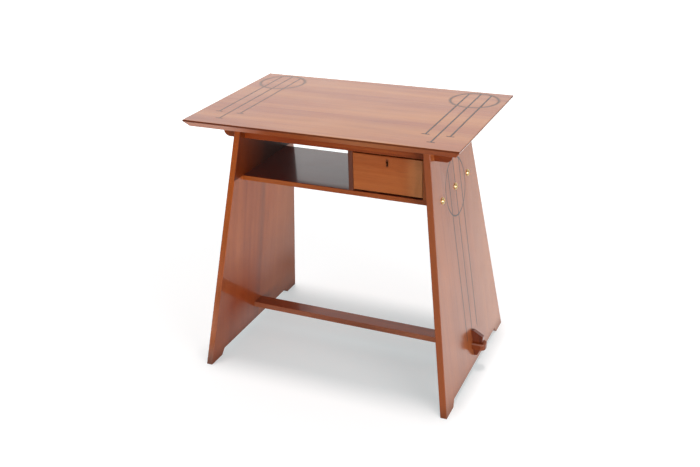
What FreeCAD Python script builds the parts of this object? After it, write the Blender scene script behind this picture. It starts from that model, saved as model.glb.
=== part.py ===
import FreeCAD, Part
import math
import os
import re
import Sketcher

# Writing desk with splayed slab ends, a pigeonhole, one drawer and a keyed stretcher.
# Frame: +Z up, +X along the desk, the front faces -Y, origin on the floor under the middle of the top.

Vector = FreeCAD.Vector
doc = FreeCAD.newDocument("WritingDesk")

# Driving dimensions in millimetres and degrees
sizes = {
    # top
    "desk_height": 740,
    "top_length": 762,
    "top_depth": 488,
    "top_thickness": 20,
    "edge_land": 4,
    "edge_bevel": 13,
    # eased edges
    "arris": 0.8,
    "drawer_arris": 1,
    "key_arris": 1,
    # splayed ends
    "foot_inset": 11,
    "splay_angle": 7.6,
    "panel_thickness": 18,
    "panel_foot_depth": 540,
    "panel_top_margin": 22,
    "foot_length": 58,
    "foot_gap_height": 18,
    "foot_gap_run": 12,
    # bearers under the top
    "case_depth": 260,
    "bearer_overhang": 54,
    "bearer_height": 55,
    "bearer_thickness": 18,
    "bearer_end_radius": 18,
    # shelf and uprights
    "shelf_drop": 185,
    "shelf_thickness": 14,
    "drawer_opening": 194,
    "upright_thickness": 13,
    "upright_fit": 0.3,
    "housing_depth": 3,
    "housing_stop": 10,
    "housing_fit": 0.1,
    # stretcher and its keys
    "stretcher_top": 84,
    "stretcher_width": 44,
    "stretcher_thickness": 17,
    "tenon_width": 36,
    "tenon_reach": 38,
    "tenon_round": 14,
    "tenon_fit": 0.1,
    "key_thickness": 15,
    "key_crown_width": 7,
    "key_head_width": 32,
    "key_crown_rise": 37,
    "key_head_rise": 17,
    "key_waist_width": 26,
    "key_tip_width": 9,
    "key_tip_drop": 25,
    "key_fit": 0.2,
    "key_draw": 3,
    # drawer
    "drawer_gap": 0.7,
    "drawer_top_gap": 3,
    "drawer_back_room": 15,
    "drawer_front_thickness": 16,
    "drawer_side_thickness": 9,
    "drawer_back_thickness": 9,
    "drawer_side_drop": 4,
    "drawer_bottom_thickness": 5,
    "drawer_bottom_rise": 8,
    "drawer_groove": 4,
    "groove_fit": 0.1,
    "tail_length": 11,
    "tail_width": 20,
    "tail_flare": 2,
    "tail_fit": 0.05,
    "runner_height": 5,
    "runner_width": 16,
    "runner_setback": 18,
    "runner_back_room": 16,
    "slide_fit": 0.2,
    "stop_width": 30,
    "stop_depth": 14,
    "stop_height": 9,
    "stop_inset": 34,
    # drawer lock
    "keyhole_drop": 17,
    "keyhole_radius": 3.2,
    "keyhole_slot": 3,
    "keyhole_slot_drop": 10,
    "lock_width": 48,
    "lock_height": 36,
    "lock_depth": 9,
    "bolt_width": 14,
    "bolt_depth": 5,
    "bolt_height": 22,
    "bolt_fit": 0.2,
    "bolt_sink": 0.5,
    "bolt_mortise_depth": 6,
    "bolt_mortise_room": 1,
    # stringing let into the top and the ends
    "inlay_width": 4,
    "inlay_depth": 1.5,
    "inlay_fit": 0.05,
    "top_ring_radius": 66,
    "top_ring_from_end": 87,
    "top_ring_from_back": 82,
    "top_line_spacing": 32,
    "top_line_reach": 308,
    "top_middle_reach": 362,
    "top_bar_length": 20,
    "panel_ring_radius": 79,
    "panel_line_spacing": 46,
    "panel_line_end": 108,
    # brass screws and cups through the ends into the shelf
    "shelf_screw_drop": 4,
    "shelf_screw_spacing": 107,
    "shelf_screw_length": 46,
    "shelf_screw_radius": 2.5,
    "shelf_screw_head_radius": 5.2,
    "shelf_screw_crown": 1,
    "cup_radius": 9,
    "cup_rim_radius": 6.4,
    "cup_height": 2.8,
    "screw_fit": 0.1,
    "slot_width": 1,
    "slot_depth": 0.9,
}

sheet = doc.addObject("Spreadsheet::Sheet", "Sizes")
for row, (alias, value) in enumerate(sizes.items(), start=1):
    sheet.set("A%d" % row, alias)
    sheet.set("B%d" % row, str(value))
    sheet.setAlias("B%d" % row, alias)
doc.recompute()

# Lengths worked out from the driving dimensions
foot_reach = "(top_length / 2 - foot_inset)"
panel_top_depth = "(case_depth + 2 * panel_top_margin)"
under_top = "(desk_height - top_thickness)"
under_bearer = "(desk_height - top_thickness - bearer_height)"
bearer_axis = "(case_depth / 2 - bearer_thickness / 2)"
case_front = "(-case_depth / 2)"
lean = "tan(splay_angle)"
shelf_height = "(desk_height - shelf_drop)"
shelf_screw_height = "(desk_height - shelf_drop - shelf_screw_drop)"
stretcher_low = "(stretcher_top - stretcher_thickness)"


def outer_face(height):
    return "(%s - (%s) * %s)" % (foot_reach, height, lean)


def inner_face(height):
    return "(%s - panel_thickness)" % outer_face(height)


bearer_reach = "(%s + bearer_overhang)" % outer_face(under_top)
cheek_right = "(%s - upright_fit)" % inner_face(under_bearer)
cheek_left = "(%s - upright_thickness)" % cheek_right
divider_left = "(%s - drawer_opening - upright_thickness)" % cheek_left
drawer_left = "(%s - drawer_opening + drawer_gap)" % cheek_left
drawer_right = "(%s - drawer_gap)" % cheek_left
drawer_width = "(drawer_opening - 2 * drawer_gap)"
drawer_length = "(case_depth - drawer_back_room)"
drawer_base = "(%s + runner_height + slide_fit)" % shelf_height
front_height = "(shelf_drop - top_thickness - bearer_height - drawer_top_gap - runner_height - slide_fit)"
side_height = "(%s - drawer_side_drop)" % front_height
keyhole_height = "(%s - keyhole_drop)" % front_height
bolt_front = "(drawer_front_thickness - lock_depth / 2 - bolt_depth / 2)"

parts = []


# Helpers for bodies, sketches and features
def formula(text):
    def point_to_sheet(word):
        return "Sizes." + word.group() if word.group() in sizes else word.group()
    return re.sub(r"[a-z_]+", point_to_sheet, text)


def bind(item, name, text):
    item.setExpression(name, formula(text))


def place(item, x="0", y="0", z="0"):
    bind(item, "Placement.Base.x", x)
    bind(item, "Placement.Base.y", y)
    bind(item, "Placement.Base.z", z)


def new_body(label, x="0", y="0", z="0"):
    body = doc.addObject("PartDesign::Body", label)
    body.Label = label
    place(body, x, y, z)
    parts.append(body)
    return body


def new_sketch(body, role, lift="0", tilt=None, shift="0"):
    sketch = body.newObject("Sketcher::SketchObject", body.Name + "_sketch")
    plane = next(item for item in body.Origin.OriginFeatures if item.Role == role)
    sketch.AttachmentSupport = [(plane, "")]
    sketch.MapMode = "FlatFace"
    if tilt is not None:
        sketch.AttachmentOffset = FreeCAD.Placement(Vector(), FreeCAD.Rotation(Vector(1, 0, 0), 5))
        bind(sketch, "AttachmentOffset.Rotation.Angle", tilt)
    bind(sketch, "AttachmentOffset.Base.y", shift)
    bind(sketch, "AttachmentOffset.Base.z", lift)
    return sketch


def fix_point(sketch, item, point, start, across, up):
    for kind, begin, text in (("DistanceX", start.x, across), ("DistanceY", start.y, up)):
        number = sketch.addConstraint(Sketcher.Constraint(kind, -1, 1, item, point, begin))
        bind(sketch, "Constraints[%d]" % number, text)


def polygon(sketch, corners):
    first = sketch.GeometryCount
    count = len(corners)
    turn = 2 * math.pi / count
    start = [Vector(40 * math.cos(turn * i), 40 * math.sin(turn * i), 0) for i in range(count)]
    sketch.addGeometry([Part.LineSegment(start[i], start[(i + 1) % count]) for i in range(count)])
    for i, (across, up) in enumerate(corners):
        following = first + (i + 1) % count
        sketch.addConstraint(Sketcher.Constraint("Coincident", first + i, 2, following, 1))
        fix_point(sketch, first + i, 1, start[i], across, up)


def rectangle(sketch, left, right, low, high):
    polygon(sketch, [(left, low), (right, low), (right, high), (left, high)])


def twelve_sided(sketch, across, up, radius):
    polygon(sketch, [("%s + (%s) * cos(%d)" % (across, radius, 30 * step),
                      "%s + (%s) * sin(%d)" % (up, radius, 30 * step)) for step in range(12)])


def circle(sketch, across, up, radius):
    item = sketch.addGeometry(Part.Circle(Vector(), Vector(0, 0, 1), 10))
    fix_point(sketch, item, 3, Vector(), across, up)
    number = sketch.addConstraint(Sketcher.Constraint("Radius", item, 10))
    bind(sketch, "Constraints[%d]" % number, radius)


def pad(body, sketch, length, midplane=False, reverse=False):
    feature = body.newObject("PartDesign::Pad", body.Name + "_pad")
    feature.Profile = sketch
    bind(feature, "Length", length)
    feature.Midplane = midplane
    feature.Reversed = reverse
    return feature


def pocket(body, sketch, depth=None, midplane=False, reverse=False):
    feature = body.newObject("PartDesign::Pocket", body.Name + "_pocket")
    feature.Profile = sketch
    if depth is None:
        feature.Type = "ThroughAll"
    else:
        bind(feature, "Length", depth)
    feature.Midplane = midplane
    feature.Reversed = reverse
    return feature


def dress_edges(body, kind, base, chosen):
    doc.recompute()
    names = []
    for number, edge in enumerate(base.Shape.Edges, start=1):
        if chosen(edge):
            names.append("Edge%d" % number)
    feature = body.newObject("PartDesign::" + kind, body.Name + "_" + kind.lower())
    feature.Base = (base, names)
    return feature


def round_edges(body, base, radius, chosen):
    feature = dress_edges(body, "Fillet", base, chosen)
    bind(feature, "Radius", radius)
    return feature


def ease_edges(body, base, size, chosen):
    feature = dress_edges(body, "Chamfer", base, chosen)
    bind(feature, "Size", size)
    return feature


def runs_along(edge, axis):
    box = edge.BoundBox
    lengths = {"x": box.XLength, "y": box.YLength, "z": box.ZLength}
    return lengths[axis] > 0.99 * edge.Length


# Stringing: a ring crossed by three parallel lines, cut as a groove or made as the let-in strip
def stringing(new_plane, shape, half, motif):
    ring = new_plane()
    circle(ring, motif["across"], motif["up"], "%s + %s" % (motif["radius"], half))
    circle(ring, motif["across"], motif["up"], "%s - %s" % (motif["radius"], half))
    shape(ring)
    lines = new_plane()
    for step in (-1, 0, 1):
        middle = "%s + %d * %s" % (motif["across"], step, motif["spacing"])
        rise = "sqrt(%s ^ 2 - (%d * %s) ^ 2)" % (motif["radius"], step, motif["spacing"])
        foot = motif["middle_foot"] if step == 0 else motif["foot"]
        rectangle(lines, "%s - %s" % (middle, half), "%s + %s" % (middle, half), foot,
                  "%s + %s" % (motif["up"], rise))
    shape(lines)
    if motif["bar"] is None:
        return
    bars = new_plane()
    for step in (-1, 0, 1):
        middle = "%s + %d * %s" % (motif["across"], step, motif["spacing"])
        foot = motif["middle_foot"] if step == 0 else motif["foot"]
        reach = "%s / 2 + %s - inlay_width / 2" % (motif["bar"], half)
        rectangle(bars, "%s - (%s)" % (middle, reach), "%s + %s" % (middle, reach),
                  "%s - %s" % (foot, half), "%s + %s" % (foot, half))
    shape(bars)


def top_motif(side):
    centre = "(top_depth / 2 - top_ring_from_back)"
    return {
        "across": "%d * (top_length / 2 - top_ring_from_end)" % side,
        "up": centre,
        "radius": "top_ring_radius",
        "spacing": "top_line_spacing",
        "foot": "(%s - top_line_reach)" % centre,
        "middle_foot": "(%s - top_middle_reach)" % centre,
        "bar": "top_bar_length",
    }


panel_motif = {
    "across": "0",
    "up": shelf_screw_height + " / cos(splay_angle)",
    "radius": "panel_ring_radius",
    "spacing": "panel_line_spacing",
    "foot": "panel_line_end / cos(splay_angle)",
    "middle_foot": "panel_line_end / cos(splay_angle)",
    "bar": None,
}
strip_half = "inlay_width / 2"
groove_half = "(inlay_width / 2 + inlay_fit)"


# Top: a straight land above an under-bevel
def make_top():
    body = new_body("top_board", z="desk_height")
    land = new_sketch(body, "XY_Plane")
    rectangle(land, "-top_length / 2", "top_length / 2", "-top_depth / 2", "top_depth / 2")
    pad(body, land, "edge_land", reverse=True)
    bevel = new_sketch(body, "XY_Plane", lift="-edge_land")
    rectangle(bevel, "-top_length / 2", "top_length / 2", "-top_depth / 2", "top_depth / 2")
    slope = pad(body, bevel, "top_thickness - edge_land", reverse=True)
    bind(slope, "TaperAngle", "-atan(edge_bevel / (top_thickness - edge_land))")
    ease_edges(body, slope, "arris", lambda edge: edge.CenterOfMass.z > -sheet.edge_land / 2)
    for side in (-1, 1):
        stringing(lambda: new_sketch(body, "XY_Plane"),
                  lambda sketch: pocket(body, sketch, "inlay_depth"), groove_half, top_motif(side))


def make_top_inlay(side, name):
    body = new_body(name + "_top_inlay", z="desk_height")
    stringing(lambda: new_sketch(body, "XY_Plane"),
              lambda sketch: pad(body, sketch, "inlay_depth", reverse=True), strip_half, top_motif(side))


# Splayed slab end: tapered outline, feet, bearer notches, tenon mortise, stringing and screw holes
def make_end_panel(side, name):
    body = new_body(name + "_end_panel", x="%d * %s" % (side, foot_reach))
    run = "%s * %s" % (under_top, lean)
    slab = new_sketch(body, "XZ_Plane")
    polygon(slab, [("0", "0"), ("%d * panel_thickness" % -side, "0"),
                   ("%d * (panel_thickness + %s)" % (-side, run), under_top),
                   ("%d * %s" % (-side, run), under_top)])
    pad(body, slab, "panel_foot_depth", midplane=True)
    outline = new_sketch(body, "YZ_Plane")
    for end in (-1, 1):
        foot = "%d * panel_foot_depth / 2" % end
        polygon(outline, [(foot, "0"), (foot + " + %d * panel_thickness" % end, "0"),
                          (foot + " + %d * panel_thickness" % end, under_top),
                          ("%d * %s / 2" % (end, panel_top_depth), under_top)])
        rectangle(outline, "%d * case_depth / 2" % end,
                  "%d * (case_depth / 2 - bearer_thickness)" % end, under_bearer, under_top)
    gap = "(panel_foot_depth / 2 - foot_length)"
    polygon(outline, [("-" + gap, "0"), (gap, "0"), (gap + " - foot_gap_run", "foot_gap_height"),
                      ("foot_gap_run - " + gap, "foot_gap_height")])
    rectangle(outline, "-tenon_width / 2 - tenon_fit", "tenon_width / 2 + tenon_fit",
              stretcher_low + " - tenon_fit", "stretcher_top + tenon_fit")
    cut = pocket(body, outline, midplane=True)

    def slanted_edge(edge):
        far = abs(edge.CenterOfMass.y) > sheet.case_depth / 2 + sheet.panel_top_margin
        return far and edge.BoundBox.ZLength > sheet.desk_height / 2
    ease_edges(body, cut, "arris", slanted_edge)
    tilt = "%d * splay_angle" % -side
    stringing(lambda: new_sketch(body, "YZ_Plane", tilt=tilt),
              lambda sketch: pocket(body, sketch, "inlay_depth", reverse=side < 0),
              groove_half, panel_motif)
    holes = new_sketch(body, "YZ_Plane", tilt=tilt)
    for step in (-1, 0, 1):
        twelve_sided(holes, "%d * shelf_screw_spacing" % step, panel_motif["up"],
                     "shelf_screw_radius + screw_fit")
    pocket(body, holes, "2 * panel_thickness", reverse=side < 0)


def lay_on_end(item, side, height):
    turn = FreeCAD.Rotation(Vector(0, 0, 1), 90 * side)
    upright = turn.multiply(FreeCAD.Rotation(Vector(1, 0, 0), 90))
    item.Placement = FreeCAD.Placement(Vector(), upright)
    place(item, "%d * %s" % (side, outer_face(height)), "0", height)
    bind(item, "Placement.Rotation.Yaw", "%d" % (90 * side))
    bind(item, "Placement.Rotation.Roll", "90 - splay_angle")


def make_panel_inlay(side, name):
    body = new_body(name + "_panel_inlay")
    stringing(lambda: new_sketch(body, "XY_Plane"),
              lambda sketch: pad(body, sketch, "inlay_depth", reverse=True), strip_half, panel_motif)
    break_half = "(shelf_screw_radius + screw_fit)"
    gap = new_sketch(body, "XY_Plane")
    rectangle(gap, "-inlay_width", "inlay_width", "%s - %s" % (panel_motif["up"], break_half),
              "%s + %s" % (panel_motif["up"], break_half))
    pocket(body, gap, "2 * inlay_depth", midplane=True)
    lay_on_end(body, side, "0")


# Bearers run through the ends under the top, with ovolo ends
def make_bearer(end, name):
    body = new_body(name + "_bearer", y="%d * %s" % (end, bearer_axis), z=under_top)
    face = new_sketch(body, "XZ_Plane")
    rectangle(face, "-" + bearer_reach, bearer_reach, "-bearer_height", "0")
    rail = pad(body, face, "bearer_thickness", midplane=True)

    def lower_end(edge):
        middle = edge.CenterOfMass
        at_end = abs(middle.x) > 0.9 * rail.Shape.BoundBox.XMax
        return runs_along(edge, "y") and at_end and middle.z < -sheet.bearer_height / 2
    ovolo = round_edges(body, rail, "bearer_end_radius", lower_end)

    def lower_edge(edge):
        return runs_along(edge, "x") and edge.CenterOfMass.z < -sheet.bearer_height / 2
    ease_edges(body, ovolo, "arris", lower_edge)
    if end < 0:
        mortise = new_sketch(body, "XY_Plane", lift="-bearer_height")
        middle = "%s + %s / 2" % (drawer_left, drawer_width)
        reach = "(bolt_width / 2 + bolt_mortise_room)"
        front = "(%s - bearer_thickness / 2)" % bolt_front
        rectangle(mortise, "%s - %s" % (middle, reach), "%s + %s" % (middle, reach),
                  front + " - bolt_mortise_room", front + " + bolt_depth + bolt_mortise_room")
        pocket(body, mortise, "bolt_mortise_depth", reverse=True)


# Shelf with ends cut to the slope of the panels and stopped housings for the uprights
def make_shelf():
    body = new_body("shelf_board", z=shelf_height)
    face = new_sketch(body, "XZ_Plane")
    upper = inner_face(shelf_height)
    lower = inner_face(shelf_height + " - shelf_thickness")
    polygon(face, [("-" + lower, "-shelf_thickness"), (lower, "-shelf_thickness"), (upper, "0"),
                   ("-" + upper, "0")])
    board = pad(body, face, "case_depth", midplane=True)
    ease_edges(body, board, "arris", lambda edge: runs_along(edge, "x"))
    for side in (-1, 1):
        pilots = new_sketch(body, "YZ_Plane", tilt="%d * splay_angle" % -side, shift="-shelf_screw_drop",
                            lift="%d * %s" % (side, outer_face(shelf_screw_height)))
        for step in (-1, 0, 1):
            twelve_sided(pilots, "%d * shelf_screw_spacing" % step, "0", "shelf_screw_radius + screw_fit")
        pocket(body, pilots, "shelf_screw_length", reverse=side < 0)
    housings = new_sketch(body, "XY_Plane")
    reach = "(case_depth / 2 - housing_stop + housing_fit)"
    for left in (divider_left, cheek_left):
        rectangle(housings, left + " - housing_fit", left + " + upright_thickness + housing_fit",
                  "-" + reach, reach)
    pocket(body, housings, "housing_depth + housing_fit")


def make_upright(label, left):
    body = new_body(label, x=left, z=shelf_height)
    face = new_sketch(body, "XZ_Plane")
    rectangle(face, "0", "upright_thickness", "0", "%s - %s" % (under_bearer, shelf_height))
    board = pad(body, face, "case_depth", midplane=True)
    ease_edges(body, board, "arris", lambda edge: runs_along(edge, "z"))
    tongue = new_sketch(body, "XY_Plane")
    reach = "(case_depth / 2 - housing_stop)"
    rectangle(tongue, "0", "upright_thickness", "-" + reach, reach)
    pad(body, tongue, "housing_depth", reverse=True)


# Stretcher with sloped shoulders, round-ended through tenons and key mortises
def key_edge(height):
    return "(key_waist_width + (key_head_width - key_waist_width) * (%s + stretcher_thickness)" \
           " / (key_head_rise + stretcher_thickness))" % height


def make_stretcher():
    body = new_body("stretcher", z="stretcher_top")
    face = new_sketch(body, "XZ_Plane")
    upper = inner_face("stretcher_top")
    lower = inner_face(stretcher_low)
    polygon(face, [("-" + lower, "-stretcher_thickness"), (lower, "-stretcher_thickness"), (upper, "0"),
                   ("-" + upper, "0")])
    board = pad(body, face, "stretcher_width", midplane=True)
    ease_edges(body, board, "arris", lambda edge: runs_along(edge, "x"))
    tenon = new_sketch(body, "XZ_Plane")
    end = "(%s + tenon_reach)" % outer_face("stretcher_top")
    rectangle(tenon, "-" + end, end, "-stretcher_thickness", "0")
    bar = pad(body, tenon, "tenon_width", midplane=True)

    def tenon_corner(edge):
        tip_line = bar.Shape.BoundBox.XMax - sheet.tenon_reach / 2
        return runs_along(edge, "z") and abs(edge.CenterOfMass.x) > tip_line
    tip = round_edges(body, bar, "tenon_round", tenon_corner)

    def tenon_rim(edge):
        skin_line = tip.Shape.BoundBox.XMax - sheet.tenon_reach
        return abs(edge.CenterOfMass.x) > skin_line and not runs_along(edge, "z")
    ease_edges(body, tip, "arris", tenon_rim)
    mortises = new_sketch(body, "XZ_Plane")
    slope = "(1 / cos(splay_angle))"
    for side in (-1, 1):
        corners = []
        for height in ("0", "-stretcher_thickness"):
            skin = outer_face("stretcher_top + " + height)
            corners.append(("%d * (%s - key_draw)" % (side, skin), height))
        for height in ("-stretcher_thickness", "0"):
            skin = outer_face("stretcher_top + " + height)
            reach = "%s * %s + key_fit" % (key_edge(height), slope)
            corners.append(("%d * (%s + %s)" % (side, skin, reach), height))
        polygon(mortises, corners)
    pocket(body, mortises, "key_thickness + 2 * key_fit", midplane=True)


# Loose key: straight against the end, tapered outside, with a chamfered head and a drawn-in tip
def make_key(side, name):
    body = new_body(name + "_tusk_key")
    face = new_sketch(body, "XZ_Plane")
    tip = "-stretcher_thickness - key_tip_drop"
    polygon(face, [("0", tip), ("key_tip_width", tip), ("key_waist_width", "-stretcher_thickness"),
                   ("key_head_width", "key_head_rise"), ("key_crown_width", "key_crown_rise"),
                   ("0", "key_crown_rise")])
    blank = pad(body, face, "key_thickness", midplane=True)
    ease_edges(body, blank, "key_arris", lambda edge: edge.CenterOfMass.x > sheet.key_tip_width / 4)
    heading = 0 if side > 0 else 180
    turn = FreeCAD.Rotation(heading, -5, 0)
    body.Placement = FreeCAD.Placement(Vector(), turn)
    place(body, "%d * %s" % (side, outer_face("stretcher_top")), "0", "stretcher_top")
    bind(body, "Placement.Rotation.Yaw", "%d" % heading)
    bind(body, "Placement.Rotation.Pitch", "-splay_angle")


# Drawer: lapped dovetails at the front, through dovetails at the back, bottom in grooves
tails_up = ("(%s / 6)" % side_height, "(%s / 2)" % side_height, "(%s * 5 / 6)" % side_height)


def tails(sketch, root, end, loose):
    for middle in tails_up:
        narrow = "(tail_width / 2 - tail_flare + %s)" % loose
        wide = "(tail_width / 2 + tail_flare + %s)" % loose
        polygon(sketch, [(root, "%s - %s" % (middle, narrow)), (end, "%s - %s" % (middle, wide)),
                         (end, "%s + %s" % (middle, wide)), (root, "%s + %s" % (middle, narrow))])


front_tail_tip = "(drawer_front_thickness - tail_length)"
back_face = "(%s - drawer_back_thickness)" % drawer_length
groove_low = "(drawer_bottom_rise - groove_fit)"
groove_high = "(drawer_bottom_rise + drawer_bottom_thickness + groove_fit)"


def drawer_body(label):
    return new_body(label, x=drawer_left, y=case_front, z=drawer_base)


def make_drawer_front():
    body = drawer_body("drawer_front")
    face = new_sketch(body, "XZ_Plane")
    rectangle(face, "0", drawer_width, "0", front_height)
    blank = pad(body, face, "drawer_front_thickness", reverse=True)
    ease_edges(body, blank, "drawer_arris", lambda edge: edge.CenterOfMass.y < sheet.drawer_arris)
    for edge in ("drawer_side_thickness", drawer_width):
        sockets = new_sketch(body, "YZ_Plane", lift=edge)
        tails(sockets, "drawer_front_thickness", front_tail_tip + " - tail_fit", "tail_fit")
        pocket(body, sockets, "drawer_side_thickness")
    groove = new_sketch(body, "XZ_Plane", lift="-drawer_front_thickness")
    inset = "(drawer_side_thickness - drawer_groove)"
    rectangle(groove, inset, "%s - %s" % (drawer_width, inset), groove_low, groove_high)
    pocket(body, groove, "drawer_groove + groove_fit", reverse=True)
    recess = new_sketch(body, "XZ_Plane", lift="-drawer_front_thickness")
    rectangle(recess, "%s / 2 - lock_width / 2" % drawer_width, "%s / 2 + lock_width / 2" % drawer_width,
              front_height + " - lock_height", front_height)
    pocket(body, recess, "lock_depth", reverse=True)
    hole = new_sketch(body, "XZ_Plane")
    circle(hole, "%s / 2" % drawer_width, keyhole_height, "keyhole_radius")
    pocket(body, hole)
    slot = new_sketch(body, "XZ_Plane")
    rectangle(slot, "%s / 2 - keyhole_slot / 2" % drawer_width, "%s / 2 + keyhole_slot / 2" % drawer_width,
              keyhole_height + " - keyhole_slot_drop", keyhole_height)
    pocket(body, slot)


def make_drawer_side(label, left):
    body = new_body(label, x="%s + %s" % (drawer_left, left), y=case_front, z=drawer_base)
    face = new_sketch(body, "YZ_Plane")
    rectangle(face, "drawer_front_thickness", back_face, "0", side_height)
    pad(body, face, "drawer_side_thickness")
    ends = new_sketch(body, "YZ_Plane")
    tails(ends, "drawer_front_thickness", front_tail_tip, "0")
    tails(ends, back_face, drawer_length, "0")
    pad(body, ends, "drawer_side_thickness")
    inside = "drawer_side_thickness" if left == "0" else "drawer_groove + groove_fit"
    groove = new_sketch(body, "YZ_Plane", lift=inside)
    rectangle(groove, "0", drawer_length + " + groove_fit", groove_low, groove_high)
    pocket(body, groove, "drawer_groove + groove_fit")


def make_drawer_back():
    body = drawer_body("drawer_back")
    face = new_sketch(body, "XZ_Plane", lift="-" + back_face)
    rectangle(face, "0", drawer_width, groove_high, side_height)
    pad(body, face, "drawer_back_thickness", reverse=True)
    for edge in ("drawer_side_thickness", drawer_width):
        sockets = new_sketch(body, "YZ_Plane", lift=edge)
        tails(sockets, back_face, drawer_length, "tail_fit")
        pocket(body, sockets, "drawer_side_thickness")


def make_drawer_bottom():
    body = drawer_body("drawer_bottom")
    face = new_sketch(body, "XY_Plane", lift="drawer_bottom_rise")
    inset = "(drawer_side_thickness - drawer_groove)"
    rectangle(face, inset, "%s - %s" % (drawer_width, inset),
              "drawer_front_thickness - drawer_groove", drawer_length)
    pad(body, face, "drawer_bottom_thickness")


# Runners and stops on the shelf
def make_runner(label, left):
    body = new_body(label, x=left, y=case_front + " + runner_setback", z=shelf_height)
    face = new_sketch(body, "XZ_Plane")
    rectangle(face, "0", "runner_width", "0", "runner_height")
    pad(body, face, "case_depth - runner_setback - runner_back_room", reverse=True)


def make_stops():
    body = new_body("drawer_stops", y=case_front + " + drawer_front_thickness", z=shelf_height)
    face = new_sketch(body, "XY_Plane")
    for left in ("%s + stop_inset" % drawer_left, "%s - stop_inset - stop_width" % drawer_right):
        rectangle(face, left, left + " + stop_width", "0", "stop_depth")
    pad(body, face, "stop_height")


# Cut-in drawer lock with a rising bolt
def make_lock_case():
    body = drawer_body("lock_case")
    face = new_sketch(body, "XZ_Plane", lift="-drawer_front_thickness")
    middle = "%s / 2" % drawer_width
    rectangle(face, middle + " - lock_width / 2", middle + " + lock_width / 2",
              front_height + " - lock_height", front_height)
    pad(body, face, "lock_depth")
    channel = new_sketch(body, "XY_Plane", lift=front_height)
    rectangle(channel, middle + " - bolt_width / 2 - bolt_fit", middle + " + bolt_width / 2 + bolt_fit",
              bolt_front + " - bolt_fit", bolt_front + " + bolt_depth + bolt_fit")
    pocket(body, channel, "bolt_height + bolt_sink + bolt_fit")
    hole = new_sketch(body, "XZ_Plane", lift="-drawer_front_thickness + lock_depth")
    circle(hole, middle, keyhole_height, "keyhole_radius")
    pocket(body, hole, "lock_depth / 2")


def make_lock_bolt():
    body = drawer_body("lock_bolt")
    face = new_sketch(body, "XY_Plane", lift=front_height + " - bolt_sink")
    middle = "%s / 2" % drawer_width
    rectangle(face, middle + " - bolt_width / 2", middle + " + bolt_width / 2",
              bolt_front, bolt_front + " + bolt_depth")
    pad(body, face, "bolt_height", reverse=True)
    bite = new_sketch(body, "XZ_Plane", lift="-%s" % bolt_front)
    rectangle(bite, middle + " - keyhole_radius", middle + " + keyhole_radius",
              keyhole_height + " - keyhole_radius", keyhole_height + " + keyhole_radius")
    pocket(body, bite, "bolt_depth / 2")


# Screws: head top at the local origin, tip towards local -Z
def new_primitive(kind, name, **lengths):
    item = doc.addObject(kind, name)
    for key, text in lengths.items():
        bind(item, key, text)
    return item


def screw(name):
    length = "(shelf_screw_length + cup_height)"
    shank = new_primitive("Part::Prism", name + "_shank", Circumradius="shelf_screw_radius",
                          Height=length + " - cup_height / 2")
    shank.Polygon = 12
    place(shank, z="-" + length)
    head = new_primitive("Part::Cone", name + "_head", Radius1="shelf_screw_radius",
                         Radius2="shelf_screw_head_radius", Height="cup_height")
    place(head, z="-cup_height")
    crown = new_primitive("Part::Cone", name + "_crown", Radius1="shelf_screw_head_radius",
                          Radius2="shelf_screw_radius", Height="shelf_screw_crown")
    whole = doc.addObject("Part::MultiFuse", name + "_whole")
    whole.Shapes = [shank, head, crown]
    slot = new_primitive("Part::Box", name + "_slot", Length="2 * shelf_screw_head_radius",
                         Width="slot_width", Height="slot_depth")
    place(slot, "-shelf_screw_head_radius", "-slot_width / 2", "shelf_screw_crown - slot_depth")
    made = doc.addObject("Part::Cut", name)
    made.Base = whole
    made.Tool = slot
    return made


def group(label, items):
    made = doc.addObject("Part::Compound", label)
    made.Label = label
    made.Links = items
    parts.append(made)


def make_shelf_screws(side, name):
    screws = []
    cups = []
    for step in (-1, 0, 1):
        head = screw("%s_shelf_screw_%d" % (name, step + 2))
        outer = new_primitive("Part::Cone", "%s_cup_body_%d" % (name, step + 2), Radius1="cup_radius",
                              Radius2="cup_rim_radius", Height="cup_height")
        seat = new_primitive("Part::Cone", "%s_cup_seat_%d" % (name, step + 2),
                             Radius1="shelf_screw_radius + screw_fit",
                             Radius2="shelf_screw_head_radius + screw_fit", Height="cup_height")
        cup = doc.addObject("Part::Cut", "%s_cup_%d" % (name, step + 2))
        cup.Base = outer
        cup.Tool = seat
        for item, lift in ((head, "cup_height"), (cup, "0")):
            turn = FreeCAD.Rotation(Vector(0, side, 0), 85)
            item.Placement = FreeCAD.Placement(Vector(), turn)
            skin = outer_face(shelf_screw_height)
            place(item, "%d * (%s + %s * cos(splay_angle))" % (side, skin, lift),
                  "%d * shelf_screw_spacing" % step,
                  "%s + %s * sin(splay_angle)" % (shelf_screw_height, lift))
            bind(item, "Placement.Rotation.Angle", "90 - splay_angle")
        screws.append(head)
        cups.append(cup)
    group(name + "_shelf_screws", screws)
    group(name + "_screw_cups", cups)


make_top()
make_shelf()
make_upright("divider", divider_left)
make_upright("drawer_cheek", cheek_left)
make_stretcher()
for side, name in ((-1, "left"), (1, "right")):
    make_top_inlay(side, name)
    make_end_panel(side, name)
    make_panel_inlay(side, name)
    make_key(side, name)
    make_shelf_screws(side, name)
make_bearer(-1, "front")
make_bearer(1, "back")
make_drawer_front()
make_drawer_side("drawer_left_side", "0")
make_drawer_side("drawer_right_side", drawer_width + " - drawer_side_thickness")
make_drawer_back()
make_drawer_bottom()
make_runner("left_drawer_runner", divider_left + " + upright_thickness")
make_runner("right_drawer_runner", cheek_left + " - runner_width")
make_stops()
make_lock_case()
make_lock_bolt()
doc.recompute()

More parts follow.
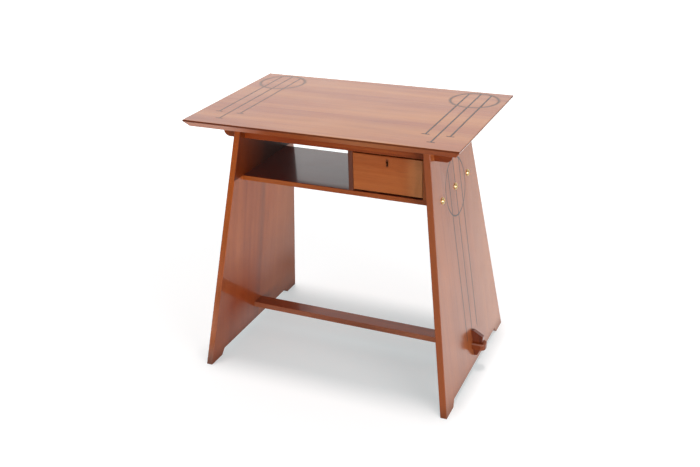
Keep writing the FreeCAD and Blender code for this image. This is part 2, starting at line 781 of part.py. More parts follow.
for item in doc.Objects:
    if "Invalid" in item.State or "Error" in item.State:
        raise RuntimeError("%s is %s" % (item.Label, item.State))
os.makedirs("parts", exist_ok=True)
for item in parts:
    if item.Shape.isNull() or not item.Shape.isValid():
        raise RuntimeError(item.Label + " has no valid shape")
    item.Shape.exportStep("parts/%s.step" % item.Label)
    print(item.Label, len(item.Shape.Solids), round(item.Shape.Volume))
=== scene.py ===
import math

import bpy
from mathutils import Matrix, Vector


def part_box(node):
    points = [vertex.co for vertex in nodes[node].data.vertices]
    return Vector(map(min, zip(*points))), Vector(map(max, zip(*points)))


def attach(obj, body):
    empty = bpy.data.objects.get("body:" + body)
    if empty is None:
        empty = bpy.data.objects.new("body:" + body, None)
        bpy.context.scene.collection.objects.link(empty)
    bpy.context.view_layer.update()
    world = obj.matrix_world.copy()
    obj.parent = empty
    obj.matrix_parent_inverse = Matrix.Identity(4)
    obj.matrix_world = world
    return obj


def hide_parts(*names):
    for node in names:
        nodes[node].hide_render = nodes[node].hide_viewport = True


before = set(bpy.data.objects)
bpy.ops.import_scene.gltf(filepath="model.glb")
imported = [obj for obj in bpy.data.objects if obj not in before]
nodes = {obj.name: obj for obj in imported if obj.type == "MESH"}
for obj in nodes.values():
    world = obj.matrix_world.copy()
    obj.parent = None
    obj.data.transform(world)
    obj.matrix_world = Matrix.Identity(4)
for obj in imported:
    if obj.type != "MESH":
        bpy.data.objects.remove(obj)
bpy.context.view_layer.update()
bpy.ops.object.select_all(action="DESELECT")

splay = math.radians(7.6)  # lean of the ends
taper = 0.118 / 0.720  # how fast they narrow upwards


# a socket that can be added, scaled and clipped like a number
class Wire:
    def __init__(self, tree, socket):
        self.tree = tree
        self.socket = socket

    def math(self, operation, other=None, flip=False):
        node = self.tree.nodes.new("ShaderNodeMath")
        node.operation = operation
        pair = (self,) if other is None else (other, self) if flip else (self, other)
        for slot, item in zip(node.inputs, pair):
            if isinstance(item, Wire):
                self.tree.links.new(item.socket, slot)
            else:
                slot.default_value = item
        return Wire(self.tree, node.outputs[0])

    def __add__(self, other):
        return self.math("ADD", other)

    def __radd__(self, other):
        return self.math("ADD", other)

    def __sub__(self, other):
        return self.math("SUBTRACT", other)

    def __rsub__(self, other):
        return self.math("SUBTRACT", other, flip=True)

    def __mul__(self, other):
        return self.math("MULTIPLY", other)

    def __rmul__(self, other):
        return self.math("MULTIPLY", other)

    def __truediv__(self, other):
        return self.math("DIVIDE", other)

    def __abs__(self):
        return self.math("ABSOLUTE")

    def clip(self):
        return self.math("MAXIMUM", 0.0).math("MINIMUM", 1.0)

    def step(self, low, high):  # 0 at low, 1 at high
        return ((self - low) / (high - low)).clip()


# the nodes of one material, or of the sky
class Finish:
    def __init__(self, owner):
        owner.use_nodes = True
        self.owner = owner
        self.tree = owner.node_tree

    def plug(self, socket, item):
        if isinstance(item, Wire):
            self.tree.links.new(item.socket, socket)
        else:
            socket.default_value = item

    def node(self, kind, settings=None, feeds=None, out=0):
        made = self.tree.nodes.new("ShaderNode" + kind)
        for key, value in (settings or {}).items():
            if key == "stops":
                ramp = made.color_ramp
                while len(ramp.elements) < len(value):
                    ramp.elements.new(0.5)
                for element, (place, colour) in zip(ramp.elements, value):
                    element.position = place
                    element.color = (*colour, 1.0)
            else:
                setattr(made, key, value)
        for key, item in (feeds or {}).items():
            self.plug(made.inputs[key], item)
        return Wire(self.tree, made.outputs[out])

    def vector(self, operation, first, second):
        return self.node("VectorMath", {"operation": operation}, {0: first, 1: second})

    def part(self, vector, axis):
        return self.node("SeparateXYZ", {}, {"Vector": vector}, axis)

    def noise(self, vector, look, out="Fac"):
        return self.node("TexNoise", {}, {"Vector": self.vector("MULTIPLY", vector, look["scale"]), "Scale": 1.0,
                                          "Detail": look["detail"], "Roughness": look["rough"]}, out)

    def tint(self, colour, share, over):
        return self.node("Mix", {"data_type": "RGBA"}, {0: share, 6: colour, 7: (*over, 1.0)}, 2)

    def set(self, **values):
        names = {"colour": "Base Color", "roughness": "Roughness", "metal": "Metallic", "coat": "Coat Weight",
                 "coatRoughness": "Coat Roughness", "coatIor": "Coat IOR", "specular": "Specular IOR Level",
                 "normal": "Normal"}
        for key, item in values.items():
            self.plug(self.tree.nodes["Principled BSDF"].inputs[names[key]], item)


# product of ramps, each from 0 to 1 along an axis
def rampMask(spot, ramps):
    mask = 1.0
    for axis, low, high in ramps:
        mask = spot[axis].step(low, high) * mask
    return mask


noiseMean = 0.5
polishIor = 1.5

# polished mahogany and the plainer drawer linings
mahoganyTones = {
    "stops": [(0.0, (0.100, 0.016, 0.005)), (0.28, (0.245, 0.045, 0.009)), (0.50, (0.395, 0.090, 0.017)),
              (0.74, (0.490, 0.135, 0.030)), (1.0, (0.600, 0.205, 0.060))],
    "pore": (0.100, 0.018, 0.006),
    "poreShare": 0.35,
    "endShare": 0.40,
    "coat": 1.0,
    "coatRoughness": 0.10,
    "roughness": 0.36,
    "specular": 0.12,
}
liningTones = {
    "stops": [(0.0, (0.250, 0.125, 0.052)), (0.35, (0.400, 0.225, 0.105)), (0.60, (0.500, 0.305, 0.155)),
              (0.80, (0.570, 0.365, 0.195)), (1.0, (0.640, 0.430, 0.245))],
    "pore": (0.200, 0.095, 0.040),
    "poreShare": 0.45,
    "endShare": 0.30,
    "coat": 0.08,
    "coatRoughness": 0.35,
    "roughness": 0.56,
    "specular": 0.4,
}

# patterns in the wood: scale along, across and through the board, and share in the tone
woodFigure = {
    "sway": {"scale": (1.3, 5.0, 5.0), "detail": 2.0, "rough": 0.5, "reach": (0.0, 0.030, 0.030)},
    "ribbon": {"scale": (0.9, 34.0, 34.0), "detail": 2.5, "rough": 0.55, "share": 0.60},
    "streak": {"scale": (3.0, 170.0, 170.0), "detail": 3.0, "rough": 0.6, "share": 0.24},
    "hair": {"scale": (11.0, 760.0, 760.0), "detail": 2.0, "rough": 0.6, "share": 0.12},
    "cloud": {"scale": (2.6, 6.0, 6.0), "detail": 2.0, "rough": 0.5, "share": 0.55},
    "dash": {"scale": (26.0, 1350.0, 1350.0), "detail": 1.0, "rough": 0.5, "ramp": (0.40, 0.33)},
    "golden": {"scale": (1.7, 13.0, 13.0), "detail": 2.0, "rough": 0.5, "ramp": (0.42, 0.66)},
    "rub": {"scale": (9.0, 9.0, 9.0), "detail": 4.0, "rough": 0.6, "share": 0.22},
    "growth": {"heart": (0.31, 0.12), "rings": 620.0, "waver": 5.0, "share": 0.025},
    "board": {"jump": (0.413, 0.057, 0.171), "turn": 1.7},
    "endGrain": (0.60, 0.90),
    "relief": {"strength": 0.12, "distance": 0.0006, "hair": 0.5, "pore": 0.6},
}

# how the grain of a piece lies
turns = {
    "x": (0.0, 0.0, 0.0),
    "y": (0.0, 0.0, math.radians(-90)),
    "z": (0.0, math.radians(90), 0.0),
    "leftEnd": (0.0, math.radians(90) - splay, 0.0),
    "rightEnd": (0.0, math.radians(90) + splay, 0.0),
}

# rings of the stringing on the top, one at each side
topRing = {"x": 0.294, "y": 0.162, "radius": 0.066}


def ringGap(paint, place):
    across = abs(paint.part(place, "X")) - topRing["x"]
    back = paint.part(place, "Y") - topRing["y"]
    return abs((across * across + back * back).math("SQRT") - topRing["radius"])


# areas darkened or paled in the colour: some by age and wear, many as painted shade, painted shadow, painted
# highlight and painted reflection, some with their polish dulled
def wearAndPaintedLight(wood, place, colour, coat, dims):
    spot = {axis: wood.part(place, axis) for axis in "XYZ"}
    spot["lean"] = spot["X"] - spot["Z"] * math.tan(splay)  # the same all over each face of the left end
    spot["rake"] = spot["Y"] - spot["Z"] * taper  # the same all over the front edges of the ends
    if any(ramp[0] == "ring" for dim in dims for ramp in dim["ramps"]):
        spot["ring"] = ringGap(wood, place)
    for dim in dims:
        mask = rampMask(spot, dim["ramps"])
        colour = wood.tint(colour, mask * dim["share"], dim["colour"])
        if "dull" in dim:
            coat = (1.0 - mask * dim["dull"]) * coat
    return colour, coat


def woodFinish(name, tones, look):
    wood = Finish(bpy.data.materials.new(name))
    place = wood.node("TexCoord", out="Object")
    turn = turns[look["grain"]]
    along = wood.node("Mapping", {}, {"Vector": place, "Location": look["start"], "Rotation": turn})
    lift = look["lift"]
    board = look.get("board")
    if board:  # glued-up boards, each with its own grain
        number = ((wood.part(along, "Y") - board["joint"]) / board["width"]).math("FLOOR")
        jumps = zip("XYZ", woodFigure["board"]["jump"])
        jump = wood.node("CombineXYZ", {}, {axis: number * reach for axis, reach in jumps})
        along = wood.vector("ADD", along, jump)
        lift = (number * woodFigure["board"]["turn"]).math("SINE") * board["lift"] + lift
    sway = wood.vector("SUBTRACT", wood.noise(along, woodFigure["sway"], "Color"), (noiseMean,) * 3)
    fibre = wood.vector("ADD", along, wood.vector("MULTIPLY", sway, woodFigure["sway"]["reach"]))
    ribbon, streak, hair, dash = (wood.noise(fibre, woodFigure[key]) for key in ("ribbon", "streak", "hair", "dash"))
    cloud = wood.noise(along, woodFigure["cloud"])
    growth = woodFigure["growth"]
    across = wood.part(fibre, "Y") + growth["heart"][0]
    depth = wood.part(fibre, "Z") + growth["heart"][1]
    ring = (across * across + depth * depth).math("SQRT")
    wave = (ring * growth["rings"] + ribbon * growth["waver"]).math("SINE")
    figure = look.get("figure", 1.0)
    tone = noiseMean + wave * (growth["share"] * figure) + lift
    for pattern, key, part in ((ribbon, "ribbon", figure), (streak, "streak", figure), (hair, "hair", 1.0),
                               (cloud, "cloud", 1.0)):
        tone = tone + (pattern - noiseMean) * (woodFigure[key]["share"] * part)
    colour = wood.node("ValToRGB", {"stops": tones["stops"]}, {0: tone})
    pore = dash.step(*woodFigure["dash"]["ramp"])
    colour = wood.tint(colour, pore * tones["poreShare"], tones["pore"])
    warm = look.get("warm")
    if warm:  # paler, more golden streaks
        golden = wood.noise(fibre, woodFigure["golden"]).step(*woodFigure["golden"]["ramp"])
        colour = wood.tint(colour, golden * warm["share"], warm["colour"])
    normal = wood.node("TexCoord", out="Normal")
    facing = wood.node("Mapping", {"vector_type": "VECTOR"}, {"Vector": normal, "Rotation": turn})
    endGrain = abs(wood.part(facing, "X")).step(*woodFigure["endGrain"])
    colour = wood.tint(colour, endGrain * tones["endShare"], tones["pore"])
    colour, coat = wearAndPaintedLight(wood, place, colour, look.get("coat", tones["coat"]), look.get("dims", ()))
    rub = wood.noise(place, woodFigure["rub"]) - noiseMean
    relief = woodFigure["relief"]
    bump = wood.node("Bump", {}, {"Strength": relief["strength"], "Distance": relief["distance"],
                                  "Height": hair * relief["hair"] - pore * relief["pore"]})
    wood.set(colour=colour, roughness=tones["roughness"] + rub * woodFigure["rub"]["share"], coat=coat,
             coatRoughness=look.get("coatRoughness", tones["coatRoughness"]), coatIor=polishIor,
             specular=tones["specular"], normal=bump)
    return wood.owner


# dark strips let into the wood
stringingFigure = {
    "mottle": {"scale": (60.0, 60.0, 60.0), "detail": 3.0, "rough": 0.5, "share": 0.65},
    "grit": {"scale": (900.0, 900.0, 900.0), "detail": 2.0, "rough": 0.5, "share": 0.35},
    "ringRamp": (0.0030, 0.0022),
    "roughness": 0.42,
    "roughnessShare": 0.2,
    "coatRoughness": 0.12,
    "specular": 0.12,
}


def stringingFinish(name, look):
    line = Finish(bpy.data.materials.new(name))
    place = line.node("TexCoord", out="Object")
    mottle = line.noise(place, stringingFigure["mottle"])
    grit = line.noise(place, stringingFigure["grit"])
    tone = mottle * stringingFigure["mottle"]["share"] + grit * stringingFigure["grit"]["share"]
    colour = line.node("ValToRGB", {"stops": look["stops"]}, {0: tone})
    if "ring" in look:  # rings paler than the lines
        pale = ringGap(line, place).step(*stringingFigure["ringRamp"]) * look["ring"]["share"]
        colour = line.tint(colour, pale, look["ring"]["colour"])
    roughness = stringingFigure["roughness"] + (mottle - noiseMean) * stringingFigure["roughnessShare"]
    line.set(colour=colour, roughness=roughness, coat=look["coat"], coatIor=polishIor,
             coatRoughness=stringingFigure["coatRoughness"], specular=stringingFigure["specular"])
    return line.owner


# worn brass, duller on the lock than on the screws
brassTones = {
    "stops": [(0.30, (0.920, 0.740, 0.420)), (0.60, (0.760, 0.550, 0.250)), (0.90, (0.300, 0.165, 0.052))],
    "tarnish": {"scale": (420.0, 420.0, 420.0), "detail": 4.0, "rough": 0.6, "share": 0.75},
    "scratch": {"scale": (260.0, 2600.0, 900.0), "detail": 2.0, "rough": 0.5, "share": 0.25},
    "roughness": 0.18,
    "roughnessShare": 0.24,
    "screwDull": 0.08,
    "lockDull": 0.12,
}


def brassFinish(name, dull):
    brass = Finish(bpy.data.materials.new(name))
    place = brass.node("TexCoord", out="Object")
    tarnish = brass.noise(place, brassTones["tarnish"]) * brassTones["tarnish"]["share"]
    scratch = brass.noise(place, brassTones["scratch"]) * brassTones["scratch"]["share"]
    tone = (tarnish + scratch + dull).clip()
    colour = brass.node("ValToRGB", {"stops": brassTones["stops"]}, {0: tone})
    brass.set(colour=colour, metal=1.0, roughness=brassTones["roughness"] + tone * brassTones["roughnessShare"])
    return brass.owner


# ramps that pick one face or area of a piece
landOfTop = [("Z", 0.7340, 0.7356), ("Z", 0.73995, 0.7396)]
bevelOfTop = [("Z", 0.7362, 0.7352)]
leftOfBevel = bevelOfTop + [("X", -0.13, -0.25)]
middleOfBevel = bevelOfTop + [("X", -0.25, -0.19), ("X", 0.12, 0.02)]
besideRing = [("Z", 0.7386, 0.7396), ("ring", 0.0070, 0.0030)]
rightArrisHighlight = [("X", 0.3795, 0.3805), ("Z", 0.7382, 0.7374)]
frontEdge = [("rake", -0.2686, -0.2696)]
insideOfLeftEnd = [("lean", -0.3535, -0.3525)]
insideOfPigeonhole = insideOfLeftEnd + [("Z", 0.553, 0.556)]
lowShadePatch = [("Y", -0.25, -0.15), ("Y", 0.04, -0.10), ("Z", 0.06, 0.14), ("Z", 0.31, 0.15)]
betweenEnds = [("X", -0.29, -0.27), ("X", 0.29, 0.27)]
topOfShelf = [("Z", 0.5535, 0.5548)]
roundKeyhole = [("X", 0.1475, 0.1515), ("X", 0.1585, 0.1545), ("Z", 0.630, 0.635), ("Z", 0.657, 0.652)]
frontOfStretcher = [("Y", -0.0205, -0.0218)]
topOfStretcher = [("Z", 0.0832, 0.0838)]
rightTenon = [("X", 0.345, 0.355)]
leftTenon = [("X", -0.345, -0.355)]
tenonArrisHighlight = rightTenon + [("Z", 0.0822, 0.0836), ("Y", -0.010, -0.014)]
# darker and duller over the lowest 40 mm of the ends
darkerFoot = {"ramps": [("Z", 0.040, 0.0)], "share": 0.45, "colour": (0.060, 0.014, 0.006), "dull": 0.5}
darkTenon = {"share": 0.55, "colour": (0.130, 0.024, 0.008), "dull": 0.2}

# grain, start of the pattern, tone, and the worn areas and painted light and shade of every wooden piece
woodPieces = {
    "top_board": {"grain": "x", "start": (0.40, 0.15, -0.55), "lift": 0.10,
                  "board": {"joint": -0.081, "width": 0.163, "lift": 0.05},
                  "warm": {"share": 0.50, "colour": (0.660, 0.250, 0.055)},
                  "dims": [{"ramps": bevelOfTop, "share": 0.50, "colour": (0.180, 0.028, 0.007), "dull": 0.25},
                           # painted reflection: the left of the bevel paled and pinkened, standing in for the white
                           # it reflects
                           {"ramps": leftOfBevel, "share": 0.60, "colour": (0.560, 0.190, 0.090)},
                           {"ramps": middleOfBevel, "share": 0.10, "colour": (0.230, 0.030, 0.005), "dull": 0.70},
                           # painted shade: the land under the top's upper arris darkened, its polish dulled
                           {"ramps": landOfTop, "share": 0.85, "colour": (0.100, 0.017, 0.006), "dull": 0.85},
                           {"ramps": besideRing, "share": 0.50, "colour": (0.085, 0.045, 0.032), "dull": 0.25},
                           # painted highlight: a pale strip on the right arris under the top
                           {"ramps": rightArrisHighlight, "share": 0.75, "colour": (0.800, 0.640, 0.570)}]},
    "left_end_panel": {"grain": "leftEnd", "start": (0.0, 0.0, 0.20), "lift": 0.02, "figure": 0.5,
                       "coatRoughness": 0.08, "board": {"joint": 0.006, "width": 0.270, "lift": 0.06},
                       "dims": [{"ramps": insideOfLeftEnd + [("Y", -0.022, -0.008), ("Y", 0.016, 0.004)],
                                 "share": 0.45, "colour": (0.150, 0.040, 0.018)},
                                # painted shade: the inner face darker and redder towards the bottom
                                {"ramps": insideOfLeftEnd + [("Z", 0.34, 0.14)], "share": 0.50,
                                 "colour": (0.175, 0.026, 0.004)},
                                {"ramps": insideOfLeftEnd + [("Y", 0.03, 0.10)], "share": 0.22,
                                 "colour": (0.620, 0.160, 0.026)},
                                # painted shade: a darker, redder patch low at the front of the inner face, its
                                # polish dulled
                                {"ramps": insideOfLeftEnd + lowShadePatch, "share": 0.40, "colour": (0.240, 0.024, 0.002),
                                 "dull": 0.90},
                                {"ramps": frontEdge + [("Z", 0.30, 0.55)], "share": 0.60,
                                 "colour": (0.530, 0.108, 0.013), "dull": 0.3},
                                # painted shadow of the top on the upper front edge
                                {"ramps": frontEdge + [("Z", 0.64, 0.70)], "share": 0.35,
                                 "colour": (0.180, 0.026, 0.005)},
                                {"ramps": frontEdge + [("Z", 0.22, 0.27), ("Z", 0.38, 0.32)], "share": 0.25,
                                 "colour": (0.750, 0.200, 0.080)},
                                {"ramps": frontEdge + [("Z", 0.075, 0.020)], "share": 0.85,
                                 "colour": (0.180, 0.095, 0.080)},
                                # painted reflection: the lower front edge paled and pinkened
                                {"ramps": frontEdge + [("Z", 0.30, 0.12)], "share": 0.20,
                                 "colour": (0.620, 0.250, 0.150)},
                                # painted shade inside the pigeonhole, deepest towards the back, its polish dulled
                                # almost away
                                {"ramps": insideOfPigeonhole, "share": 0.82, "colour": (0.092, 0.010, 0.001),
                                 "dull": 0.97},
                                {"ramps": insideOfPigeonhole + [("Y", -0.16, 0.0)], "share": 0.92,
                                 "colour": (0.018, 0.004, 0.002), "dull": 0.9},
                                darkerFoot]},
    "right_end_panel": {"grain": "rightEnd", "start": (0.35, 0.20, 0.90), "lift": -0.02, "figure": 0.6,
                        "coatRoughness": 0.17, "board": {"joint": 0.200, "width": 0.270, "lift": 0.08},
                        "dims": [{"ramps": [], "share": 0.25, "colour": (0.360, 0.140, 0.045)},
                                 {"ramps": [("Y", 0.015, 0.035), ("Y", 0.085, 0.060)], "share": 0.22,
                                  "colour": (0.280, 0.090, 0.035)},
                                 {"ramps": [("Y", 0.080, 0.115)], "share": 0.10, "colour": (0.440, 0.185, 0.050)},
                                 # painted shade: a dark, dull strip along the front arris, which also hides its
                                 # highlight
                                 {"ramps": [("rake", -0.2655, -0.2680)], "share": 0.55,
                                  "colour": (0.150, 0.036, 0.012), "dull": 0.80},
                                 {"ramps": frontEdge, "share": 0.75, "colour": (0.360, 0.092, 0.033)},
                                 darkerFoot]},
    "front_bearer": {"grain": "x", "start": (2.10, 0.30, 0.11), "lift": -0.14, "coat": 0.45,
                     # painted shadow of the top's overhang on the bearer's front, darkest towards the left, its
                     # polish dulled
                     "dims": [{"ramps": betweenEnds + [("X", 0.16, -0.22)], "share": 0.42,
                               "colour": (0.230, 0.020, 0.003), "dull": 0.8}]},
    "back_bearer": {"grain": "x", "start": (3.30, 0.10, 0.41), "lift": -0.14, "coat": 0.45},
    "shelf_board": {"grain": "x", "start": (4.20, 0.70, 0.25), "lift": -0.02,
                    # painted shade darkening the whole top face of the shelf
                    "dims": [{"ramps": topOfShelf, "share": 0.92, "colour": (0.160, 0.015, 0.003)}]},
    "divider": {"grain": "z", "start": (5.10, 0.20, 0.65), "lift": -0.36,
                "dims": [{"ramps": [("Y", -0.1270, -0.1290)], "share": 0.55, "colour": (0.115, 0.052, 0.036)}]},
    "drawer_cheek": {"grain": "z", "start": (5.90, 0.60, 0.15), "lift": 0.10},
    "stretcher": {"grain": "x", "start": (6.30, 0.40, 0.75), "lift": -0.05, "coat": 0.64,
                  "dims": [{"ramps": topOfStretcher, "share": 0.25, "colour": (0.560, 0.110, 0.020), "dull": 0.05},
                           # painted shade on the top of the stretcher towards its left end, its polish dulled
                           {"ramps": topOfStretcher + [("X", -0.13, -0.18)], "share": 0.40,
                            "colour": (0.130, 0.014, 0.003), "dull": 0.4},
                           # painted reflection: the stretcher's front paled and pinkened along its length
                           {"ramps": frontOfStretcher, "share": 0.35, "colour": (0.480, 0.210, 0.140)},
                           # painted light on the right part of the stretcher's front, which the right end shades
                           # from the lamp
                           {"ramps": frontOfStretcher + [("X", 0.04, 0.18)], "share": 0.80,
                            "colour": (0.850, 0.300, 0.150)},
                           {"ramps": rightTenon, **darkTenon}, {"ramps": leftTenon, **darkTenon},
                           # painted highlight along the top arris of the right tenon
                           {"ramps": tenonArrisHighlight, "share": 0.55, "colour": (0.500, 0.270, 0.210)}]},
    "left_tusk_key": {"grain": "leftEnd", "start": (7.10, 0.10, 0.35), "lift": -0.38},
    "right_tusk_key": {"grain": "rightEnd", "start": (7.70, 0.30, 0.55), "lift": -0.38},
    "drawer_front": {"grain": "x", "start": (8.20, 0.90, 0.45), "lift": 0.03,
                     # painted light: the drawer front paler towards its right end, where the right end shades it
                     # from the lamp
                     "dims": [{"ramps": [("X", 0.195, 0.250)], "share": 0.42, "colour": (0.680, 0.270, 0.095)},
                              {"ramps": [("X", 0.205, 0.245)], "share": 0.45, "colour": (0.850, 0.360, 0.125)},
                              {"ramps": [("Z", 0.625, 0.565)], "share": 0.30, "colour": (0.600, 0.190, 0.050)},
                              {"ramps": [("Z", 0.630, 0.655)], "share": 0.20, "colour": (0.250, 0.060, 0.015)},
                              {"ramps": roundKeyhole, "share": 0.75, "colour": (0.035, 0.010, 0.006),
                               "dull": 0.6}]},
}
liningPieces = {
    "drawer_left_side": {"grain": "y", "start": (1.10, 0.20, 0.10), "lift": 0.0},
    "drawer_right_side": {"grain": "y", "start": (2.20, 0.50, 0.30), "lift": 0.03},
    "drawer_back": {"grain": "x", "start": (3.10, 0.80, 0.60), "lift": -0.03},
    "drawer_bottom": {"grain": "x", "start": (4.40, 0.10, 0.90), "lift": 0.05},
    "left_drawer_runner": {"grain": "y", "start": (5.20, 0.40, 0.20), "lift": -0.05},
    "right_drawer_runner": {"grain": "y", "start": (6.10, 0.70, 0.50), "lift": -0.05},
    "drawer_stops": {"grain": "x", "start": (7.30, 0.20, 0.80), "lift": -0.08},
}

# the lines at the left are the most faded
fadedLine = {"stops": [(0.25, (0.095, 0.045, 0.028)), (0.55, (0.165, 0.080, 0.048)), (0.80, (0.250, 0.118, 0.068))],
             "coat": 0.80}
stringing = {
    "left_top_inlay": {**fadedLine, "ring": {"share": 0.35, "colour": (0.300, 0.140, 0.080)}},
    "right_top_inlay": {"stops": [(0.25, (0.040, 0.023, 0.017)), (0.55, (0.078, 0.047, 0.034)),
                                  (0.80, (0.140, 0.085, 0.056))], "coat": 0.65,
                        "ring": {"share": 0.45, "colour": (0.260, 0.120, 0.070)}},
    "left_panel_inlay": fadedLine,
    "right_panel_inlay": {"stops": [(0.25, (0.048, 0.026, 0.019)), (0.55, (0.090, 0.049, 0.035)),
                                    (0.80, (0.150, 0.082, 0.055))], "coat": 0.60},
}


def dress(node, material):
    slots = nodes[node].data.materials
    slots.clear()
    slots.append(material)


for pieces, tones in ((woodPieces, mahoganyTones), (liningPieces, liningTones)):
    for node, look in pieces.items():
        dress(node, woodFinish(node + "Wood", tones, look))
for node, look in stringing.items():
    dress(node, stringingFinish(node + "Stringing", look))
brightBrass = brassFinish("screwBrass", brassTones["screwDull"])
lockBrass = brassFinish("lockBrass", brassTones["lockDull"])
for node in ("lock_case", "lock_bolt"):
    dress(node, lockBrass)
print("finishes laid on:", len(woodPieces) + len(liningPieces), "boards, stringing and lock")


# arrises worn round: boards whose outer edges are softened, and where those edges lie
rims = {"topX": 0.366, "topY": 0.229, "endY": 0.269, "foot": 0.030}
easing = {"merge": 0.00001, "coplanar": 0.5, "sharp": 28.0, "segments": 3, "smooth": 35.0, "flatness": 100}


def onRimOfTop(spot):
    return abs(spot.x) > rims["topX"] or abs(spot.y) > rims["topY"]


def onRimOfEnd(spot):
    return abs(spot.y) > rims["endY"] - abs(spot.z) * taper or spot.z < rims["foot"]


def anywhere(spot):
    return True


easedBoards = {
    "top_board": {"body": "frame", "rim": onRimOfTop, "round": 0.0007},
    "left_end_panel": {"body": "frame", "rim": onRimOfEnd, "round": 0.0012},
    "right_end_panel": {"body": "frame", "rim": onRimOfEnd, "round": 0.0010},
    "shelf_board": {"body": "frame", "rim": anywhere, "round": 0.0007},
    "divider": {"body": "frame", "rim": anywhere, "round": 0.0007},
    "drawer_cheek": {"body": "frame", "rim": anywhere, "round": 0.0007},
    "front_bearer": {"body": "frame", "rim": anywhere, "round": 0.0010},
    "back_bearer": {"body": "frame", "rim": anywhere, "round": 0.0010},
    "stretcher": {"body": "frame", "rim": anywhere, "round": 0.0010},
    "left_tusk_key": {"body": "left_key", "rim": anywhere, "round": 0.0008},
    "right_tusk_key": {"body": "right_key", "rim": anywhere, "round": 0.0008},
}


def easeBoard(node, look):
    board = bpy.data.objects.new("eased_" + node, nodes[node].data.copy())
    bpy.context.scene.collection.objects.link(board)
    bpy.ops.object.select_all(action="DESELECT")
    board.select_set(True)
    bpy.context.view_layer.objects.active = board
    bpy.ops.object.mode_set(mode="EDIT")
    bpy.ops.mesh.select_mode(type="EDGE")
    bpy.ops.mesh.select_all(action="SELECT")
    bpy.ops.mesh.remove_doubles(threshold=easing["merge"])
    bpy.ops.mesh.dissolve_limited(angle_limit=math.radians(easing["coplanar"]))
    bpy.ops.mesh.select_all(action="DESELECT")
    bpy.ops.mesh.edges_select_sharp(sharpness=math.radians(easing["sharp"]))
    bpy.ops.object.mode_set(mode="OBJECT")
    points = board.data.vertices
    for edge in board.data.edges:
        edge.select = edge.select and all(look["rim"](points[end].co) for end in edge.vertices)
    bpy.ops.object.mode_set(mode="EDIT")
    bpy.ops.mesh.bevel(offset=look["round"], segments=easing["segments"], affect="EDGES", clamp_overlap=True)
    bpy.ops.mesh.select_all(action="SELECT")
    bpy.ops.mesh.dissolve_degenerate(threshold=easing["merge"])
    bpy.ops.object.mode_set(mode="OBJECT")
    bpy.ops.object.shade_smooth_by_angle(angle=math.radians(easing["smooth"]))
    flat = board.modifiers.new("flat", "WEIGHTED_NORMAL")  # broad faces stay flat up to the rounding
    flat.weight = easing["flatness"]
    flat.keep_sharp = True
    bpy.ops.object.modifier_apply(modifier=flat.name)
    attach(board, look["body"])
    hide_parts(node)


for node, look in easedBoards.items():
    easeBoard(node, look)
print("arrises softened on", len(easedBoards), "boards")


# turned brass: radius and height of each step, from the wood outwards
screwCup = {
    "sides": 48,
    "steps": [(0.0096, 0.0), (0.0097, 0.0004), (0.0096, 0.0009), (0.0090, 0.0015), (0.0083, 0.0022),
              (0.0079, 0.0029), (0.0075, 0.0033), (0.0071, 0.0033), (0.0067, 0.0029), (0.0064, 0.0018)],
}
cupScrew = {
    "sides": 48,
    "steps": [(0.0012, -0.0260), (0.0020, -0.0200), (0.0020, -0.0015), (0.0056, 0.0016), (0.0060, 0.0023),
              (0.0059, 0.0029), (0.0054, 0.0037), (0.0044, 0.0044), (0.0030, 0.0049), (0.0014, 0.0052)],
    "slot": {"width": 0.0015, "depth": 0.0018, "floor": 0.0034},
    "turned": (-38.0, 21.0, -62.0),
}
flushScrew = {
    "sides": 32,
    "steps": [(0.0008, -0.0100), (0.0013, -0.0070), (0.0013, -0.0016), (0.0028, 0.0), (0.0028, 0.0002),
              (0.0023, 0.0005), (0.0012, 0.0007)],
    "slot": {"width": 0.0006, "depth": 0.0008, "floor": 0.0001},
    "turned": (25.0, -48.0, 70.0, -12.0, 40.0, -75.0),
}
panelPin = {
    "sides": 20,
    "steps": [(0.0004, -0.0090), (0.0009, -0.0070), (0.0009, -0.0002), (0.0019, 0.0), (0.0019, 0.0003),
              (0.0014, 0.0006), (0.0007, 0.0007)],
}
turnedSmooth = 40.0
slotCut = {"length": 0.030, "soften": 0.00012, "segments": 2, "sharp": 50.0}


def turnedPiece(name, look):
    bpy.ops.object.select_all(action="DESELECT")
    radius, height = look["steps"][0]
    bpy.ops.mesh.primitive_circle_add(vertices=look["sides"], radius=radius, fill_type="NGON",
                                      location=(0, 0, height))
    piece = bpy.context.object
    piece.name = name
    bpy.ops.object.transform_apply(location=True, rotation=True, scale=True)
    bpy.ops.object.mode_set(mode="EDIT")
    bpy.ops.mesh.select_all(action="SELECT")
    for wide, high in look["steps"][1:]:
        bpy.ops.mesh.extrude_region_move(TRANSFORM_OT_translate={"value": (0, 0, high - height)})
        bpy.ops.transform.resize(value=(wide / radius, wide / radius, 1.0), center_override=(0, 0, high))
        radius, height = wide, high
    bpy.ops.mesh.select_all(action="SELECT")
    bpy.ops.mesh.normals_make_consistent(inside=False)
    bpy.ops.object.mode_set(mode="OBJECT")
    if "slot" in look:
        cutSlot(piece, look["slot"])
    bpy.ops.object.shade_smooth_by_angle(angle=math.radians(turnedSmooth))
    return piece


